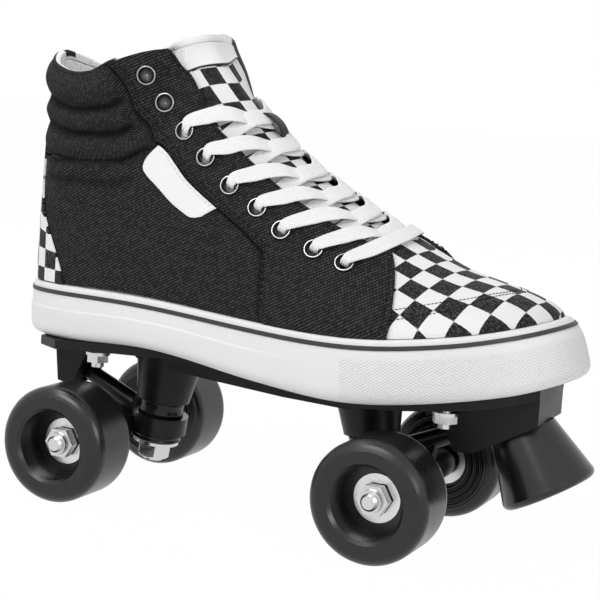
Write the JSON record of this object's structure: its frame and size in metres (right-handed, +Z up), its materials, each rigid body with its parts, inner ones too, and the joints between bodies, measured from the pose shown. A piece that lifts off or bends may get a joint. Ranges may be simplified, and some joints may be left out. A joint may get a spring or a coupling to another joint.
{
  "type": "quad roller skate",
  "caption": "High-top canvas roller skate: laced boot with checked toe and heel on a nylon plate with sprung steering trucks, ball-bearing wheels and an angled toe stop.",
  "frame": {"origin": "on the floor under the wheels, at the middle of the bounding box's footprint", "axes": "+X towards the toe, +Z up, +Y to the inner side of this right-foot skate"},
  "size_m": [0.2946, 0.1274, 0.2236],
  "materials": {
    "canvas_black": "coarse woven canvas",
    "collar_black": "padded fine canvas",
    "checker": "black and white checked canvas",
    "lining_white": "soft cotton twill",
    "tongue_white": "padded canvas with a checked lower part",
    "trim_black": "woven tape",
    "label_white": "blank woven label",
    "lace_white": "flat braided cotton",
    "eyelet_metal": "bright rim",
    "sole_white": "matt vulcanised rubber",
    "stripe_black": "matt",
    "midsole_foam": "moulded crepe rubber",
    "board": "pressed fibre board",
    "insole_foam": "cloth on foam",
    "plate_nylon": "moulded, satin",
    "hanger_black": "black satin",
    "steel": "zinc plated",
    "bearing_steel": "ground steel",
    "cup_plastic": "moulded liner",
    "cushion_rubber": "satin",
    "stop_rubber": "smooth, moulded",
    "wheel_urethane": "glossy cast urethane"
  },
  "bodies": {
    "boot_and_plate": {"quarter_lateral": "canvas_black", "quarter_medial": "canvas_black", "eyestay_lateral": "canvas_black", "eyestay_medial": "canvas_black", "ankle_collar": "collar_black", "toe_cap": "checker", "heel_counter": "checker", "lining": "lining_white", "tongue": "tongue_white", "tongue_binding": "trim_black", "lace_loop": "trim_black", "side_tag": "label_white", "tongue_label": "label_white", "laces": "lace_white", "eyelets_lateral": "eyelet_metal", "eyelets_medial": "eyelet_metal", "foxing": "sole_white", "toe_bumper": "sole_white", "foxing_stripe": "stripe_black", "midsole": "midsole_foam", "insole_board": "board", "insole": "insole_foam", "plate": "plate_nylon", "mount_bolts": "steel", "mount_nuts": "steel", "toe_stop_bolt": "steel", "kingpins": "steel", "kingpin_nuts": "steel", "cushion_washers": "steel", "pivot_cups": "cup_plastic", "cushion_upper_front": "cushion_rubber", "cushion_upper_rear": "cushion_rubber", "cushion_lower_front": "cushion_rubber", "cushion_lower_rear": "cushion_rubber", "toe_stop": "stop_rubber"},
    "truck_front": {"hanger_front": "hanger_black", "axle_front": "steel", "axle_nuts_front": "steel", "axle_washers_front": "steel", "bearing_inners_front": "bearing_steel"},
    "truck_rear": {"hanger_rear": "hanger_black", "axle_rear": "steel", "axle_nuts_rear": "steel", "axle_washers_rear": "steel", "bearing_inners_rear": "bearing_steel"},
    "roller_front_lateral": {"wheel_front_lateral": "wheel_urethane", "bearing_outers_front_lateral": "bearing_steel", "bearing_balls_front_lateral": "bearing_steel"},
    "roller_front_medial": {"wheel_front_medial": "wheel_urethane", "bearing_outers_front_medial": "bearing_steel", "bearing_balls_front_medial": "bearing_steel"},
    "roller_rear_lateral": {"wheel_rear_lateral": "wheel_urethane", "bearing_outers_rear_lateral": "bearing_steel", "bearing_balls_rear_lateral": "bearing_steel"},
    "roller_rear_medial": {"wheel_rear_medial": "wheel_urethane", "bearing_outers_rear_medial": "bearing_steel", "bearing_balls_rear_medial": "bearing_steel"}
  },
  "joints": [
    {"name": "steer_front", "type": "hinge", "parent": "boot_and_plate", "child": "truck_front", "pos_m": [0.04335, 0, 0.0325], "axis": [0.9063, 0, 0.4226], "range_deg": [-7, 7], "stiffness_Nm_per_rad": 60, "deforming": ["cushion_upper_front", "cushion_lower_front"]},
    {"name": "steer_rear", "type": "hinge", "parent": "boot_and_plate", "child": "truck_rear", "pos_m": [-0.07276, 0, 0.0325], "axis": [-0.9063, 0, 0.4226], "range_deg": [-7, 7], "stiffness_Nm_per_rad": 60, "deforming": ["cushion_upper_rear", "cushion_lower_rear"]},
    {"name": "spin_front_lateral", "type": "hinge", "parent": "truck_front", "child": "roller_front_lateral", "pos_m": [0.06595, -0.0477, 0.0278], "axis": [0, 1, 0], "continuous": true},
    {"name": "spin_front_medial", "type": "hinge", "parent": "truck_front", "child": "roller_front_medial", "pos_m": [0.06595, 0.0477, 0.0278], "axis": [0, 1, 0], "continuous": true},
    {"name": "spin_rear_lateral", "type": "hinge", "parent": "truck_rear", "child": "roller_rear_lateral", "pos_m": [-0.09535, -0.0477, 0.0278], "axis": [0, 1, 0], "continuous": true},
    {"name": "spin_rear_medial", "type": "hinge", "parent": "truck_rear", "child": "roller_rear_medial", "pos_m": [-0.09535, 0.0477, 0.0278], "axis": [0, 1, 0], "continuous": true}
  ]
}
